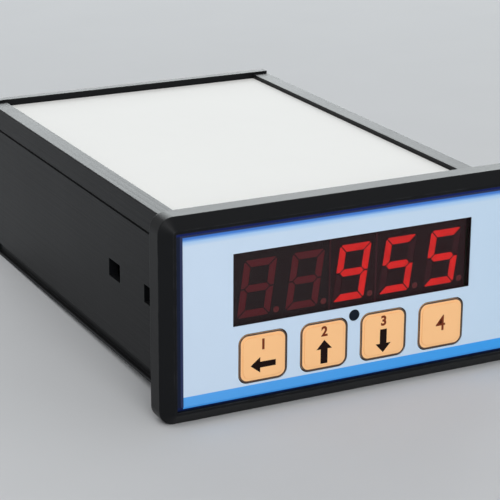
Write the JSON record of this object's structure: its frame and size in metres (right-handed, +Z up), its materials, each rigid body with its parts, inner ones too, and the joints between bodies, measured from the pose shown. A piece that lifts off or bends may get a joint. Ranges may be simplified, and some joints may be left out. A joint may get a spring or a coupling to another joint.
{
  "type": "weighing indicator",
  "caption": "Panel-mount weighing indicator: a black bezel with a printed film, a red seven-segment display and key row, and a long railed case with screw terminals behind.",
  "frame": {"origin": "middle of the bounding box in X and Y, at the height of the bezel's bottom edge", "axes": "the bezel faces -Y, the case runs back along +Y, +Z is up with the digits upright, and +X is to the right of a person reading the display"},
  "size_m": [0.096, 0.135, 0.048],
  "materials": {
    "bezel_plastic": "moulded black plastic, fine satin",
    "case_plastic": "moulded black plastic, fine satin",
    "steel_screws": "zinc plated",
    "label_film": "plain white film, satin",
    "overlay_film": "printed polyester film, semi gloss",
    "smoked_filter": "dark red tinted clear plastic, polished",
    "key_film": "printed polyester film, semi gloss",
    "plunger_plastic": "moulded, satin",
    "stem_plastic": "moulded, satin",
    "switch_plastic": "moulded, satin",
    "board_laminate": "green solder resist",
    "module_plastic": "dark grey face, matte",
    "segment_resin": "red diffusing resin",
    "diode_resin": "clear resin",
    "header_pins": "black strip with tinned pins",
    "chip_epoxy": "black epoxy",
    "can_steel": "tinned",
    "ferrite": "sintered ferrite, dull",
    "winding_tape": "yellow polyester tape",
    "capacitor_sleeve": "heat-shrunk sleeve",
    "fuse_glass": "clear tube with plated caps",
    "plated_brass": "tinned brass",
    "relay_plastic": "moulded cover",
    "sink_aluminium": "black anodised",
    "terminal_plastic": "moulded green plastic"
  },
  "bodies": {
    "housing": {"bezel": "bezel_plastic", "case": "case_plastic", "rear_cover": "case_plastic", "cover_screws": "steel_screws", "board_screws": "steel_screws", "terminal_screws_upper": "steel_screws", "terminal_screws_lower": "steel_screws", "top_label": "label_film", "overlay": "overlay_film", "display_window": "smoked_filter", "status_lens": "smoked_filter", "switch_1": "switch_plastic", "switch_2": "switch_plastic", "switch_3": "switch_plastic", "switch_4": "switch_plastic", "display_board": "board_laminate", "signal_board": "board_laminate", "power_board": "board_laminate", "display_left": "module_plastic", "display_middle": "module_plastic", "display_right": "module_plastic", "segments_left": "segment_resin", "segments_middle": "segment_resin", "segments_right": "segment_resin", "status_led": "diode_resin", "signal_header": "header_pins", "power_header": "header_pins", "board_link": "header_pins", "processor": "chip_epoxy", "converter_chip": "chip_epoxy", "logic_chips": "chip_epoxy", "bridge_rectifier": "chip_epoxy", "regulator": "chip_epoxy", "shield_can": "can_steel", "crystal": "can_steel", "transformer_core": "ferrite", "transformer_winding": "winding_tape", "bulk_capacitor": "capacitor_sleeve", "small_capacitors": "capacitor_sleeve", "mains_fuse": "fuse_glass", "fuse_clips": "plated_brass", "terminal_clamps_upper": "plated_brass", "terminal_clamps_lower": "plated_brass", "relays": "relay_plastic", "heat_sink": "sink_aluminium", "terminal_block_upper": "terminal_plastic", "terminal_block_lower": "terminal_plastic"},
    "key_1_body": {"key_1": "key_film", "plunger_1": "plunger_plastic", "switch_stem_1": "stem_plastic"},
    "key_2_body": {"key_2": "key_film", "plunger_2": "plunger_plastic", "switch_stem_2": "stem_plastic"},
    "key_3_body": {"key_3": "key_film", "plunger_3": "plunger_plastic", "switch_stem_3": "stem_plastic"},
    "key_4_body": {"key_4": "key_film", "plunger_4": "plunger_plastic", "switch_stem_4": "stem_plastic"}
  },
  "joints": [
    {"name": "key_1_press", "type": "slide", "parent": "housing", "child": "key_1_body", "axis": [0, 1, 0], "range_m": [0, 0.00035], "stiffness_N_per_m": 3000},
    {"name": "key_2_press", "type": "slide", "parent": "housing", "child": "key_2_body", "axis": [0, 1, 0], "range_m": [0, 0.00035], "stiffness_N_per_m": 3000},
    {"name": "key_3_press", "type": "slide", "parent": "housing", "child": "key_3_body", "axis": [0, 1, 0], "range_m": [0, 0.00035], "stiffness_N_per_m": 3000},
    {"name": "key_4_press", "type": "slide", "parent": "housing", "child": "key_4_body", "axis": [0, 1, 0], "range_m": [0, 0.00035], "stiffness_N_per_m": 3000}
  ]
}
